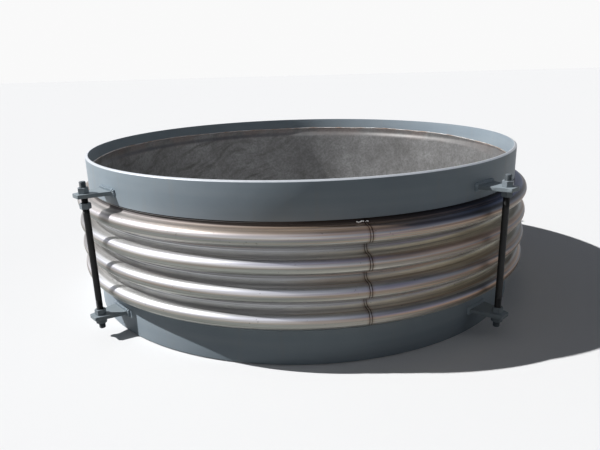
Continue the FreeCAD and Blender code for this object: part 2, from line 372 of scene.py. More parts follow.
def wave_line(nodes, sizes):
    """The sheet's outer face as one line, x being its radius and z its height.
    It is a square zigzag, four corners to a wave, with its corners filleted until they meet."""
    last = nodes.times(sizes["Waves"], 4)
    count = nodes.plus(last, 2)
    line = nodes.add("GeometryNodeMeshLine", {"Count": count}).outputs[0]
    corner = nodes.minus(nodes.add("GeometryNodeInputIndex").outputs[0], 1)
    wave = nodes.maths("FLOOR", nodes.maths("DIVIDE", corner, 4))
    turn = nodes.minus(corner, nodes.times(wave, 4))
    on_crest = nodes.maths("LESS_THAN", nodes.maths("ABSOLUTE", nodes.minus(turn, 1.5)), 1)
    upper = nodes.maths("GREATER_THAN", turn, 1.5)
    crest_width = nodes.scaled(sizes["Root curve"], -2, sizes["Pitch"])
    rise = nodes.scaled(upper, crest_width, sizes["Root curve"])
    height = nodes.plus(nodes.scaled(wave, sizes["Pitch"], sizes["Foot"]), rise)
    at_top = nodes.maths("GREATER_THAN", corner, nodes.minus(last, 0.5))
    at_foot = nodes.maths("LESS_THAN", corner, -0.5)
    beyond = nodes.minus(sizes["Collar"], sizes["Root curve"])
    height = nodes.scaled(nodes.minus(at_top, at_foot), beyond, height)
    depth = nodes.minus(sizes["Crest radius"], sizes["Root radius"])
    radius = nodes.scaled(on_crest, depth, sizes["Root radius"])
    set_out = {"Geometry": line, "Position": nodes.join(radius, 0, height)}
    zigzag = nodes.add("GeometryNodeSetPosition", set_out).outputs[0]
    line = nodes.add("GeometryNodeMeshToCurve", {"Mesh": zigzag}).outputs[0]

    here = nodes.split(nodes.add("GeometryNodeInputPosition").outputs[0])[0]
    middle = nodes.scaled(depth, 0.5, sizes["Root radius"])
    outside = nodes.maths("GREATER_THAN", here, middle)
    crest_curve = nodes.times(crest_width, 0.5)
    more = nodes.minus(crest_curve, sizes["Root curve"])
    fillet = nodes.scaled(outside, more, sizes["Root curve"])
    inputs = {"Curve": line, "Count": sizes["Steps"], "Radius": fillet}
    return nodes.add("GeometryNodeFilletCurve", inputs, mode="POLY").outputs[0]


def bellows_tree():
    """The wave line swept round the axis."""
    nodes, sizes = new_tree("formed_waves", WAVE_INPUTS | {"Around": ("Int", 360)})
    here = nodes.split(nodes.add("GeometryNodeInputPosition").outputs[0])
    flat = nodes.join(nodes.minus(here[0], sizes["Root radius"]), nodes.times(here[2], -1), 0)
    inputs = {"Geometry": wave_line(nodes, sizes), "Position": flat}
    section = nodes.add("GeometryNodeSetPosition", inputs).outputs[0]
    inputs = {"Resolution": sizes["Around"], "Radius": sizes["Root radius"]}
    hoop = nodes.add("GeometryNodeCurvePrimitiveCircle", inputs).outputs[0]
    upright = nodes.add("GeometryNodeSetCurveNormal", {"Curve": hoop}, mode="Z_UP").outputs[0]
    skin = nodes.add("GeometryNodeCurveToMesh", {"Curve": upright, "Profile Curve": section})
    end_tree(nodes, skin.outputs[0], sizes["Finish"])
    return nodes


seam_turn = math.radians(15)  # from the front towards the right
brown_turn = math.radians(70)  # the side away from the key lamp: browned, and given the most painted shade
blue_turn = math.radians(90)  # and where a painted blue sky reflection is strongest
stained_turn = math.radians(-92)  # the left side, where the sheet is made darker


def around_lines(nodes, place, fineness):
    """Coordinates in which a pattern runs in lines around the axis, on walls and on flanks alike."""
    x, y, z = nodes.split(place)
    squares = nodes.plus(nodes.times(x, x), nodes.times(y, y))
    slanted = nodes.scaled(nodes.maths("SQRT", squares), 0.8, z)
    line = nodes.times(slanted, fineness)
    return nodes.join(x, y, line)


def towards(nodes, angle, turn):
    """1 on the side that faces turn, 0 a quarter of the way round from it, and -1 behind."""
    return nodes.maths("COSINE", nodes.minus(angle, turn))


def wave_tones(nodes, level, to_brown):
    """The sheet's tone by level on a wave, from one root (0) over the crest (0.5) to the next (1), with
    painted highlights, painted reflections and painted shade in it: a lit set of tones on the lamp side
    and a darker, browned set on the shaded side.
    """
    # Lamp side: the light bands are painted highlights and painted reflections, and the dark bands are
    # painted shade.
    bright = nodes.ramp(
        level,
        [
            (0.00, (0.30, 0.30, 0.31)),
            (0.24, (0.45, 0.45, 0.43)),
            (0.30, (0.42, 0.42, 0.39)),
            (0.38, (0.30, 0.31, 0.28)),
            (0.50, (0.30, 0.31, 0.29)),
            (0.545, (0.40, 0.36, 0.31)),
            (0.58, (0.56, 0.53, 0.51)),
            (0.64, (0.62, 0.61, 0.63)),
            (0.685, (0.62, 0.62, 0.66)),
            (0.72, (0.40, 0.40, 0.41)),
            (0.75, (0.46, 0.46, 0.46)),
            (0.79, (0.90, 0.89, 0.88)),
            (0.86, (0.88, 0.88, 0.87)),
            (0.91, (0.50, 0.50, 0.51)),
            (0.95, (0.36, 0.36, 0.37)),
            (1.00, (0.30, 0.30, 0.31)),
        ],
    )
    # Shaded side: browned, with painted shade and thin bands of painted highlight and painted reflection.
    brown = nodes.ramp(
        level,
        [
            (0.00, (0.08, 0.075, 0.07)),
            (0.24, (0.46, 0.43, 0.38)),
            (0.29, (0.74, 0.69, 0.61)),
            (0.34, (0.92, 0.88, 0.79)),
            (0.41, (0.43, 0.375, 0.31)),
            (0.50, (0.165, 0.13, 0.095)),
            (0.55, (0.20, 0.115, 0.08)),
            (0.60, (0.165, 0.165, 0.175)),
            (0.64, (0.145, 0.155, 0.165)),
            (0.68, (0.075, 0.07, 0.075)),
            (0.70, (0.07, 0.065, 0.055)),
            (0.74, (0.17, 0.15, 0.12)),
            (0.775, (0.92, 0.85, 0.68)),
            (0.85, (0.98, 0.90, 0.66)),
            (0.89, (0.34, 0.31, 0.26)),
            (0.94, (0.095, 0.085, 0.07)),
            (1.00, (0.07, 0.06, 0.055)),
        ],
    )
    return nodes.blend(nodes.between(to_brown, 0.3, 0.9), bright, brown)


def forming_lines(nodes, level, to_brown, colour):
    """The colour with thin painted lines along each wave: painted shade lines under the crests, and on
    the lit side painted reflection lines. A line has its level, how much higher it runs on the shaded
    side, its strength and its tone."""
    on_left = nodes.between(to_brown, 0.4, -0.3)
    dark_line, light_line = (0.045, 0.04, 0.035), (0.95, 0.94, 0.92)
    for height, rise, share, tone in (
        (0.955, 0.020, 0.70, dark_line),
        (0.925, 0.024, nodes.times(on_left, 0.60), light_line),
        (0.890, 0.030, nodes.times(on_left, 0.60), dark_line),
        (0.345, 0.020, nodes.times(on_left, 0.45), light_line),
        (0.310, 0.025, 0.60, dark_line),
    ):
        off_line = nodes.minus(level, nodes.scaled(to_brown, rise, height))
        line = nodes.between(nodes.maths("ABSOLUTE", off_line), 0.011, 0.004)
        colour = nodes.blend(nodes.times(line, share), colour, tone)
    return colour


def seam_tints(nodes, place, angle, colour):
    """The colour with the burnt line that runs down each side of the seam."""
    beside = nodes.times(nodes.minus(angle, seam_turn), root_radius)
    ragged = nodes.scaled(nodes.noise(place, 190, 2), 0.0014, -0.0007)
    off_seam = nodes.plus(nodes.maths("ABSOLUTE", beside), ragged)
    burnt = nodes.ramp(
        nodes.between(off_seam, 0, 0.02),
        [
            (0.00, (0.80, 0.78, 0.76)),
            (0.10, (0.75, 0.72, 0.70)),
            (0.12, (0.12, 0.08, 0.06)),
            (0.205, (0.11, 0.07, 0.055)),
            (0.245, (0.80, 0.74, 0.70)),
            (0.60, (1.0, 1.0, 1.0)),
        ],
    )
    return nodes.blend(1.0, colour, burnt, "MULTIPLY")


def tinted_stainless(name):
    """Formed stainless sheet: painted light and shade by level on each wave, painted shade and reflection
    lines round each wave, straw and violet tints, and a tinted seam.
    """
    finish, nodes, place = new_finish(name)
    x, y, z = nodes.split(place)
    angle = nodes.maths("ARCTAN2", x, nodes.times(y, -1))
    to_brown = towards(nodes, angle, brown_turn)
    level = nodes.maths("FRACT", nodes.maths("DIVIDE", nodes.minus(z, end_length), wave_pitch))
    drift = nodes.noise(around_lines(nodes, place, 9), 1.6, 3, 0.6)
    level = nodes.plus(level, nodes.scaled(drift, 0.05, -0.025))
    colour = wave_tones(nodes, level, to_brown)

    # Painted sky blue on the right crests; under the upper ring a brown band and painted blue and black
    # shade.
    to_blue = nodes.between(towards(nodes, angle, blue_turn), 0.55, 0.95)
    blueness = nodes.times(to_blue, nodes.between(level, 0.48, 0.62))
    colour = nodes.blend(blueness, colour, (0.40, 0.46, 0.58), "MULTIPLY")
    # Painted blue shade under the upper ring, on the shaded side.
    below_ring = nodes.minus(joint_top - end_length, z)
    blueness = nodes.times(nodes.between(below_ring, 0.042, 0.018), nodes.between(to_brown, 0.35, 0.85))
    colour = nodes.blend(blueness, colour, (0.17, 0.22, 0.42), "MULTIPLY")
    heated = nodes.scaled(nodes.between(to_brown, -0.3, 0.3), 0.70, 0.30)
    heated = nodes.times(heated, nodes.between(to_brown, 0.95, 0.6))
    heated = nodes.times(heated, nodes.between(below_ring, 0.032, 0.022))
    colour = nodes.blend(heated, colour, (0.80, 0.64, 0.51), "MULTIPLY")
    # Painted black shade in the topmost root under the upper ring, which also takes out the lamp's
    # reflection there.
    at_collar = nodes.between(below_ring, 0.0175, 0.0135)
    colour = nodes.blend(at_collar, colour, (0.22, 0.212, 0.222), "MULTIPLY")
    # The sheet darker towards the left.
    stained = nodes.between(towards(nodes, angle, stained_turn), 0.74, 0.98)
    colour = nodes.blend(stained, colour, (0.52, 0.47, 0.43), "MULTIPLY")

    # Grain that runs round the joint, fine and broad, and then painted shade and reflection lines along
    # the waves.
    streaks = nodes.noise(around_lines(nodes, place, 260), 2.2, 4, 0.65)
    colour = nodes.blend(nodes.between(streaks, 0.72, 0.3), colour, (0.62, 0.62, 0.62), "MULTIPLY")
    bands = nodes.between(nodes.noise(around_lines(nodes, place, 75), 1.5, 4, 0.6), 0.34, 0.66)
    banding = nodes.blend(bands, (0.80, 0.80, 0.80), (1.30, 1.30, 1.30))
    colour = nodes.blend(1.0, colour, banding, "MULTIPLY")
    colour = forming_lines(nodes, level, to_brown, colour)

    # Thin straw and violet bands, the seam, and small pits.
    away_from_collar = nodes.minus(1, at_collar)
    tinted = nodes.times(nodes.between(to_brown, -0.6, 0.7), away_from_collar)
    straw = nodes.between(nodes.noise(around_lines(nodes, place, 110), 1.1, 2, 0.5), 0.57, 0.63)
    straw = nodes.times(straw, nodes.times(tinted, 0.50))
    colour = nodes.blend(straw, colour, (0.38, 0.25, 0.17))
    violet = nodes.between(nodes.noise(around_lines(nodes, place, 90), 1.3, 2, 0.5), 0.59, 0.66)
    violet = nodes.times(violet, nodes.times(tinted, 0.45))
    colour = nodes.blend(violet, colour, (0.24, 0.21, 0.30))
    colour = seam_tints(nodes, place, angle, colour)
    pits = nodes.between(nodes.noise(place, 80, 3, 0.75), 0.67, 0.72)
    colour = nodes.blend(nodes.times(pits, 0.7), colour, (0.03, 0.025, 0.02))

    gloss = nodes.noise(around_lines(nodes, place, 70), 1.8, 3, 0.6)
    roughness = nodes.scaled(gloss, 0.20, 0.33)
    roughness = nodes.scaled(at_collar, 0.35, roughness)
    die_marks = nodes.bump(streaks, 0.00018, 0.5)
    dents = nodes.bump(nodes.noise(around_lines(nodes, place, 14), 2.4, 2), 0.0022, 0.35, die_marks)
    nodes.surface({"Base Color": colour, "Metallic": 0.85, "Roughness": roughness, "Normal": dents})
    return finish


bellows_steel = tinted_stainless("bellows_steel")


def squeeze_with_joint(piece):
    """Gives the piece a mesh of its own."""
    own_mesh(piece)


bellows = made_by(bellows_tree(), "bellows_sheet", {"Finish": bellows_steel}, sharp=180)
wall = bellows.modifiers.new("wall", "SOLIDIFY")
wall.thickness = sheet
wall.offset = -1
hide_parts("bellows")
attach(bellows, "lower_end")


# ---- Flow liner
# A stainless sleeve that keeps the flow off the waves. Its top is trimmed by hand, belled out and
# seal welded inside the upper ring, and its foot hangs free inside the lower one.

liner_foot, liner_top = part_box("flow_liner")
liner_wall = 0.003
liner_step = 0.010
liner_cuff = 0.020
liner_slope = 0.015
liner_softness = 0.006


def trim_line(angle):
    """How far the hand-trimmed top edge stands above its mean height."""
    waver = 0.0045 * math.sin(angle - 1.7) + 0.0047 * math.sin(2 * angle - 1.8)
    return waver + 0.0043 * math.sin(3 * angle - 0.8) + 0.0008 * math.sin(13 * angle + 0.4)


def liner_strain(angle, height):
    """The sleeve follows its trimmed edge, and its thin wall is out of round by a few millimetres."""
    in_cuff = max(0, (height - cuff_foot) / (liner_top.z - cuff_foot))
    in_sleeve = 1 - min(1, max(0, (height - slope_foot) / liner_slope))
    oil_can = 0.0012 * math.sin(4 * angle + 9 * height) + 0.0008 * math.sin(11 * angle - 14 * height)
    return in_sleeve * oil_can, in_cuff * trim_line(angle)


def scuffed_stainless(name):
    """Dull pickled sheet with rolling grain, wiped smears and the curved scratches of handling."""
    finish, nodes, place = new_finish(name)
    x, y, z = nodes.split(place)
    clouds = nodes.noise(place, 3.1, 6, 0.65)
    colour = nodes.ramp(
        clouds,
        [
            (0.30, (0.26, 0.256, 0.252)),
            (0.48, (0.375, 0.372, 0.37)),
            (0.60, (0.435, 0.433, 0.432)),
            (0.74, (0.52, 0.52, 0.52)),
        ],
    )
    grain = nodes.noise(place, 90, 4, 0.8)
    shade = nodes.between(grain, 0.38, 0.62)
    colour = nodes.blend(shade, nodes.blend(0.45, colour, (0.1, 0.095, 0.09)), colour)
    mottle = nodes.between(nodes.noise(place, 22, 6, 0.7), 0.38, 0.62)
    colour = nodes.blend(mottle, nodes.blend(0.30, colour, (0.1, 0.095, 0.09)), colour)

    # Smears and scratches along the slanting strokes of a hand. The smears are weighted to the left,
    # where their darkness also paints the shade on that wall.
    along = nodes.times(nodes.maths("ARCTAN2", x, y), sleeve_radius)
    bend = nodes.scaled(nodes.noise(place, 2.2, 2), 0.35, z)
    wiped = nodes.join(
        nodes.scaled(bend, 0.9, along),
        nodes.times(nodes.scaled(along, -0.45, bend), 6),
        0,
    )
    smears = nodes.between(nodes.noise(wiped, 4.5, 3, 0.55), 0.50, 0.72)
    patchy = nodes.between(nodes.noise(place, 1.7, 2), 0.40, 0.60)
    handled_side = nodes.between(x, 0.1, -0.6)
    smears = nodes.times(smears, nodes.scaled(patchy, 0.5, 0.5))
    smears = nodes.times(smears, nodes.scaled(handled_side, 0.95, 0.15))
    colour = nodes.blend(smears, colour, (0.10, 0.09, 0.085))
    scratches = nodes.noise(nodes.stretch(wiped, 2.2, 22, 1), 3.1, 2, 0.5)
    fine = nodes.times(nodes.between(scratches, 0.68, 0.72), 0.35)
    colour = nodes.blend(fine, colour, (0.56, 0.54, 0.51))

    # Heat haze under the top weld, and shade on the slope below the cuff.
    weld_haze = nodes.between(z, liner_top.z - 0.05, liner_top.z + 0.004)
    weld_haze = nodes.times(weld_haze, nodes.between(nodes.noise(place, 11, 3), 0.4, 0.62))
    colour = nodes.blend(nodes.times(weld_haze, 0.55), colour, (0.30, 0.20, 0.17))
    on_step = nodes.between(z, slope_foot - 0.005, slope_foot + 0.004)
    above_step = nodes.between(z, cuff_foot - 0.004, cuff_foot + 0.005)
    on_step = nodes.scaled(above_step, -0.35, nodes.times(on_step, 0.7))
    colour = nodes.blend(on_step, colour, (0.10, 0.095, 0.09))

    roughness = nodes.scaled(clouds, 0.25, 0.42)
    dents = nodes.bump(nodes.noise(place, 5.5, 2), 0.006, 0.5)
    nodes.surface(
        {
            "Base Color": colour,
            "Metallic": 0.45,
            "Roughness": roughness,
            "Normal": nodes.bump(grain, 0.0002, 0.4, dents),
        }
    )
    return finish


cuff_foot = liner_top.z - liner_cuff
slope_foot = cuff_foot - liner_slope
sleeve_radius = liner_top.x - liner_step
liner_steel = scuffed_stainless("liner_steel")
liner_section = [
    (liner_top.x, liner_top.z),
    (liner_top.x, cuff_foot),
    (sleeve_radius, slope_foot),
    (sleeve_radius, liner_foot.z),
    (sleeve_radius - liner_wall, liner_foot.z),
    (sleeve_radius - liner_wall, slope_foot),
    (liner_top.x - liner_wall, cuff_foot),
    (liner_top.x - liner_wall, liner_top.z),
]
liner_outline = softened(liner_section, liner_softness, 5)
sleeve = new_piece("liner_sleeve", turned_mesh("liner_sleeve", liner_outline, 360, liner_strain), 30)
sleeve.data.materials.append(liner_steel)
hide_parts("flow_liner")
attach(sleeve, "upper_end")


# ---- Lugs
# Eight flame-cut plates, wide at the weld and narrow at the rod, four to each ring. They are fillet
# welded all round and sprayed with the rings.

CORNERS = ("front_left", "front_right", "rear_right", "rear_left")
first_turn = math.radians(225)
quarter = math.radians(90)
rod_low, rod_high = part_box("limit_rod_front_left")
rod_circle = ((rod_low + rod_high) / 2).xy.length
lug_reach = 0.100
lug_root = 0.090
lug_tip = 0.046
lug_tip_curve = 0.005
lug_hole = 0.012
lug_spread = math.asin(lug_root / 2 / pipe_radius)


def lug_mesh(name, foot, top):
    """One plate, standing out along +X. Its rim and its hole are sampled together, point for point."""
    tip, half_tip = pipe_radius + lug_reach, lug_tip / 2
    root = [
        Vector((math.cos(angle), math.sin(angle))) * pipe_radius
        for angle in np.linspace(lug_spread, -lug_spread, 13)
    ]
    tip_corners = softened([(tip, -half_tip), (tip, half_tip), (pipe_radius, 0)], lug_tip_curve, 4)
    near, far = tip_corners[:5], tip_corners[5:10]
    outline = root[:-1]
    for start, end, steps, corner in (
        (root[-1], near[0], 8, near),
        (near[-1], far[0], 6, far),
        (far[-1], root[0], 8, []),
    ):
        outline += [start.lerp(end, step / steps) for step in range(steps)] + corner[:-1]
    centre = Vector((rod_circle, 0))
    rows = []
    soft = edge_softness
    for inset, height in ((soft, foot), (0, foot + soft), (0, top - soft), (soft, top)):
        rows.append([(*(point + (centre - point).normalized() * inset), height) for point in outline])
    for flare, height in ((soft, top), (0, top - soft), (0, foot + soft), (soft, foot)):
        out = lug_hole + flare
        rows.append([(*(centre + (point - centre).normalized() * out), height) for point in outline])
    return looped_mesh(name, rows)


def corner_tree():
    """Sets copies of a piece out at equal steps about the axis, each with a loose turn of its own."""
    inputs = {
        "Copies": ("Int", 4),
        "First turn": ("Float", first_turn),
        "Step": ("Float", quarter),
        "Out": ("Float", 0.0),
        "Height": ("Float", 0.0),
        "Loose turn": ("Float", 0.0),
        "Seed": ("Int", 0),
    }
    nodes, sizes = new_tree("at_the_corners", inputs)
    points = nodes.add("GeometryNodePoints", {"Count": sizes["Copies"]}).outputs[0]
    index = nodes.add("GeometryNodeInputIndex").outputs[0]
    angle = nodes.scaled(index, sizes["Step"], sizes["First turn"])
    place = nodes.join(
        nodes.times(nodes.maths("COSINE", angle), sizes["Out"]),
        nodes.times(nodes.maths("SINE", angle), sizes["Out"]),
        sizes["Height"],
    )
    points = nodes.add("GeometryNodeSetPosition", {"Geometry": points, "Position": place}).outputs[0]
    loose = nodes.add("FunctionNodeRandomValue", {"Seed": sizes["Seed"]}, data_type="FLOAT").outputs[1]
    own_turn = nodes.scaled(loose, sizes["Loose turn"], angle)
    inputs = {"Points": points, "Instance": sizes["Geometry"], "Rotation": nodes.join(0, 0, own_turn)}
    copies = nodes.add("GeometryNodeInstanceOnPoints", inputs)
    end_tree(nodes, copies.outputs[0], sizes["Finish"])
    return nodes


at_corners = corner_tree()
lug_primer = sprayed_primer("lug_primer", (0.29, 0.335, 0.36), (0.235, 0.275, 0.30), 0.0004)
for end in ("lower", "upper"):
    low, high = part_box(f"{end}_lug_front_left")
    plate = lug_mesh(f"{end}_plate", low.z, high.z)
    lugs = made_by(at_corners, f"{end}_lugs", {"Finish": lug_primer}, plate)
    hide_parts(*[f"{end}_lug_{corner}" for corner in CORNERS])
    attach(lugs, f"{end}_end")


# ---- Limit rods
# Four M20 bars, threaded at both ends and plain between, chemically blacked. The ends that stand out
# past the lugs caught the primer when the joint was sprayed.

rod_radius = (rod_high.x - rod_low.x) / 2
rod_length = rod_high.z - rod_low.z
thread_pitch = 0.0025
thread_depth = 0.0012
thread_length = 0.100
rod_chamfer = 0.002
masked_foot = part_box("lower_outer_nut_front_left")[0].z
masked_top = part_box("upper_outer_nut_front_left")[1].z


def rod_tree():
    """A bar in three lengths: a thread at each end and a plain shank between them."""
    inputs = {
        "Radius": ("Float", rod_radius),
        "Length": ("Float", rod_length),
        "Thread": ("Float", thread_length),
        "Pitch": ("Float", thread_pitch),
        "Depth": ("Float", thread_depth),
        "Chamfer": ("Float", rod_chamfer),
        "Around": ("Int", 28),
        "Rows": ("Int", 200),
    }
    nodes, sizes = new_tree("threaded_rod", inputs)
    radius, thread, around = sizes["Radius"], sizes["Thread"], sizes["Around"]
    inputs = {"Vertices": around, "Side Segments": sizes["Rows"], "Radius": radius, "Depth": thread}
    end = nodes.add("GeometryNodeMeshCylinder", inputs).outputs[0]
    x, y, z = nodes.split(nodes.add("GeometryNodeInputPosition").outputs[0])
    from_tip = nodes.scaled(thread, 0.5, z)
    turns = nodes.maths("DIVIDE", nodes.maths("ARCTAN2", y, x), math.tau)
    helix = nodes.minus(nodes.maths("DIVIDE", from_tip, sizes["Pitch"]), turns)
    ridge = nodes.maths("ABSOLUTE", nodes.minus(nodes.maths("FRACT", helix), 0.5))
    groove = nodes.between(ridge, 0.42, 0.08)
    to_shank = nodes.maths("DIVIDE", nodes.minus(thread, from_tip), sizes["Pitch"])
    run_out = nodes.between(to_shank, 0, 2)
    cut = nodes.times(nodes.times(groove, run_out), sizes["Depth"])
    threaded = nodes.minus(radius, cut)
    tip = nodes.plus(nodes.minus(radius, sizes["Chamfer"]), from_tip)
    share = nodes.maths("DIVIDE", nodes.maths("MINIMUM", threaded, tip), radius)
    place = nodes.join(nodes.times(x, share), nodes.times(y, share), from_tip)
    low_end = nodes.add("GeometryNodeSetPosition", {"Geometry": end, "Position": place}).outputs[0]
    over = {
        "Geometry": low_end,
        "Translation": nodes.join(0, 0, sizes["Length"]),
        "Rotation": (math.pi, 0, 0),
    }
    high_end = nodes.add("GeometryNodeTransform", over).outputs[0]
    shank_length = nodes.scaled(thread, -2, sizes["Length"])
    inputs = {"Vertices": around, "Side Segments": 4, "Radius": radius, "Depth": shank_length}
    shank = nodes.add("GeometryNodeMeshCylinder", inputs).outputs[0]
    middle = nodes.join(0, 0, nodes.times(sizes["Length"], 0.5))
    shank = nodes.add("GeometryNodeTransform", {"Geometry": shank, "Translation": middle}).outputs[0]
    whole = nodes.add("GeometryNodeJoinGeometry")
    for length in (low_end, shank, high_end):
        nodes.tree.links.new(length, whole.inputs[0])
    end_tree(nodes, whole.outputs[0], sizes["Finish"])
    return nodes


def blacked_bar(name):
    """Blacked steel with a satin oil film, rubbed in places, and primer over the two ends."""
    finish, nodes, place = new_finish(name)
    rubs = nodes.between(nodes.noise(nodes.stretch(place, 60, 60, 9), 1, 4, 0.65), 0.63, 0.80)
    colour = nodes.blend(rubs, (0.009, 0.009, 0.0095), (0.05, 0.046, 0.043))
    height = nodes.split(place)[2]
    ragged = nodes.scaled(nodes.noise(place, 120, 2), 0.012, -0.006)
    level = nodes.plus(height, ragged)
    below = nodes.minus(1, nodes.between(level, masked_foot - 0.002, masked_foot + 0.002))
    above = nodes.between(level, masked_top - 0.004, masked_top + 0.002)
    painted = nodes.times(nodes.maths("MAXIMUM", below, above), 0.55)
    colour = nodes.blend(painted, colour, (0.20, 0.235, 0.26))
    roughness = nodes.scaled(nodes.noise(place, 45, 3), 0.3, 0.36)
    nodes.surface(
        {
            "Base Color": colour,
            "Roughness": roughness,
            "Specular IOR Level": 0.25,
            "Normal": nodes.bump(nodes.noise(nodes.stretch(place, 300, 300, 40), 1, 2), 0.0001, 0.5),
        }
    )
    return finish


rod_black = blacked_bar("rod_black")
one_rod = made_by(rod_tree(), "one_rod", {"Finish": rod_black}, sharp=40)
placing = {"Out": rod_circle, "Height": rod_low.z, "Loose turn": 6.0, "Seed": 4, "Finish": rod_black}
rods = made_by(at_corners, "limit_rods", placing, one_rod.data.copy(), 40)
bpy.data.objects.remove(one_rod)
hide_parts(*[f"limit_rod_{corner}" for corner in CORNERS])
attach(rods, "lower_end")


# ---- Nuts
# Sixteen M20 hexagon nuts, one on each face of each lug, sprayed with the rings. Three of the nuts
# under the upper lugs are run back from them, and the one at the front right is still up against its
# lug. Each face stands a film of primer off the plate beside it.

nut_low, nut_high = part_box("upper_outer_nut_front_left")
nut_film = 0.00005
nut_height = nut_high.z - nut_low.z - 2 * nut_film
nut_flats = 0.030
nut_bevel = math.tan(math.radians(30))
nut_countersink = 0.0010
nut_bore = rod_radius + 0.00005


def nut_mesh(name):
    """One nut about its own axis, from z = 0 up, with the round bevel that cuts back its six corners."""
    around = 72
    apothem = nut_flats / 2
    face_radius = apothem * 0.96
    loops = (
        ("bore", 0, nut_countersink),
        ("bore", nut_countersink, 0),
        ("face", 0, 0),
        ("side", 0, 0),
    )
    half = []
    for kind, out, deep in loops:
        row = []
        for step in range(around):
            angle = math.tau * step / around
            across = math.remainder(angle, math.radians(60))
            side = apothem / math.cos(across)
            radius = {"bore": nut_bore + out, "face": face_radius, "side": side}[kind]
            drop = deep + (side - face_radius) * nut_bevel * (kind == "side")
            row.append((radius * math.cos(angle), radius * math.sin(angle), drop))
        half.append(row)
    other = [[(x, y, nut_height - z) for x, y, z in row] for row in reversed(half)]
    return looped_mesh(name, half + other)


nut_primer = sprayed_primer("nut_primer", (0.27, 0.305, 0.33), (0.20, 0.235, 0.26), 0.0003)
LOOSE = [corner for corner in CORNERS if corner != "front_right"]
NUT_SETS = (  # which nuts, at which corners, quarter turns to the first, what they ride on, and a seed
    ("upper_outer", CORNERS, 0, "lower_end", 3),
    ("lower_inner", CORNERS, 0, "lower_end", 11),
    ("lower_outer", CORNERS, 0, "lower_end", 7),
    ("upper_inner", LOOSE, 2, "lower_end", 5),
    ("upper_inner", ["front_right"], 1, "locking_nut", 2),
)
for kind, corners, quarters, body, seed in NUT_SETS:
    placing = {
        "Copies": len(corners),
        "First turn": first_turn + quarter * quarters,
        "Out": rod_circle,
        "Height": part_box(f"{kind}_nut_{corners[0]}")[0].z + nut_film,
        "Loose turn": 2.0,
        "Seed": seed,
        "Finish": nut_primer,
    }
    name = "locking_nut" if body == "locking_nut" else f"{kind}_nuts"
    nuts = made_by(at_corners, name, placing, nut_mesh(name), 28)
    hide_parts(*[f"{kind}_nut_{corner}" for corner in corners])
    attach(nuts, body)


# ---- Welds
# Hand-run beads round the lug roots and along the liner's trimmed edge, and the machine-run seam that
# closed the bellows sheet before it was formed. Each bead is a row of overlapping ripples.


def bead_tree():
    """A row of flattened ripples along the start mesh's edges."""
    inputs = {
        "Spacing": ("Float", 0.004),
        "Length": ("Float", 0.006),
        "Width": ("Float", 0.006),
        "Height": ("Float", 0.005),
        "Unevenness": ("Float", 0.15),
        "Across": ("Vector", (0, 0, 1)),
        "Seed": ("Int", 0),
    }
    nodes, sizes = new_tree("weld_bead", inputs)
    path = nodes.add("GeometryNodeMeshToCurve", {"Mesh": sizes["Geometry"]}).outputs[0]
    inputs = {"Curve": path, "Length": sizes["Spacing"]}
    path = nodes.add("GeometryNodeResampleCurve", inputs, mode="LENGTH")
    ripple = nodes.add("GeometryNodeMeshIcoSphere", {"Radius": 0.5, "Subdivisions": 2}).outputs[0]
    ripple = nodes.add("GeometryNodeSetShadeSmooth", {"Geometry": ripple}).outputs[0]
    along = nodes.add("GeometryNodeInputTangent").outputs[0]
    inputs = {"Primary Axis": along, "Secondary Axis": sizes["Across"]}
    turn = nodes.add("FunctionNodeAxesToRotation", inputs)
    turn.primary_axis, turn.secondary_axis = "X", "Y"
    low = nodes.minus(1, sizes["Unevenness"])
    high = nodes.plus(1, sizes["Unevenness"])
    inputs = {2: low, 3: high, "Seed": sizes["Seed"]}
    uneven = nodes.add("FunctionNodeRandomValue", inputs, data_type="FLOAT")
    size = nodes.join(sizes["Length"], sizes["Width"], sizes["Height"])
    grown = nodes.add("ShaderNodeVectorMath", {0: size, "Scale": uneven.outputs[1]}, operation="SCALE")
    inputs = {
        "Points": path.outputs[0],
        "Instance": ripple,
        "Rotation": turn.outputs[0],
        "Scale": grown.outputs[0],
    }
    row = nodes.add("GeometryNodeInstanceOnPoints", inputs)
    end_tree(nodes, row.outputs[0], sizes["Finish"])
    return nodes


def path_mesh(name, lines):
    """Paths for a bead: each line is a run of points, joined by edges."""
    points, edges = [], []
    for line in lines:
        start = len(points)
        points.extend(tuple(point) for point in line)
        edges.extend((index, index + 1) for index in range(start, len(points) - 1))
    mesh = bpy.data.meshes.new(name)
    mesh.from_pydata(points, edges, [])
    return mesh


weld_bead = bead_tree()
fillet_out = 0.0015
# The fillets get a lighter primer than the rings: a painted highlight where the beads catch the lamp.
fillet_primer = sprayed_primer("fillet_primer", (0.46, 0.53, 0.58), (0.38, 0.44, 0.49), 0.0003)
for end in ("lower", "upper"):
    low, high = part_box(f"{end}_lug_front_left")
    arc = [
        Vector((math.cos(angle), math.sin(angle))) * (pipe_radius + fillet_out)
        for angle in np.linspace(-lug_spread, lug_spread, 12)
    ]
    lines = []
    for index in range(4):
        turn = Matrix.Rotation(first_turn + quarter * index, 3, "Z")
        above = [Vector((*point, high.z + fillet_out)) for point in arc]
        below = [Vector((*point, low.z - fillet_out)) for point in reversed(arc)]
        lines.append([turn @ point for point in above + below + above[:1]])
    look = {"Spacing": 0.0036, "Seed": 6, "Width": 0.012, "Height": 0.012, "Finish": fillet_primer}
    fillets = made_by(weld_bead, f"{end}_lug_fillets", look, path_mesh(f"{end}_lug_roots", lines))
    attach(fillets, f"{end}_end")


def bare_bead(name, tone, bloom_tone):
    """A stainless bead left as welded, with a bloom of its own tint."""
    finish, nodes, place = new_finish(name)
    bloom = nodes.between(nodes.noise(place, 16, 4, 0.6), 0.38, 0.66)
    colour = nodes.blend(bloom, tone, bloom_tone)
    nodes.surface({"Base Color": colour, "Metallic": 0.9, "Roughness": 0.38})
    return finish


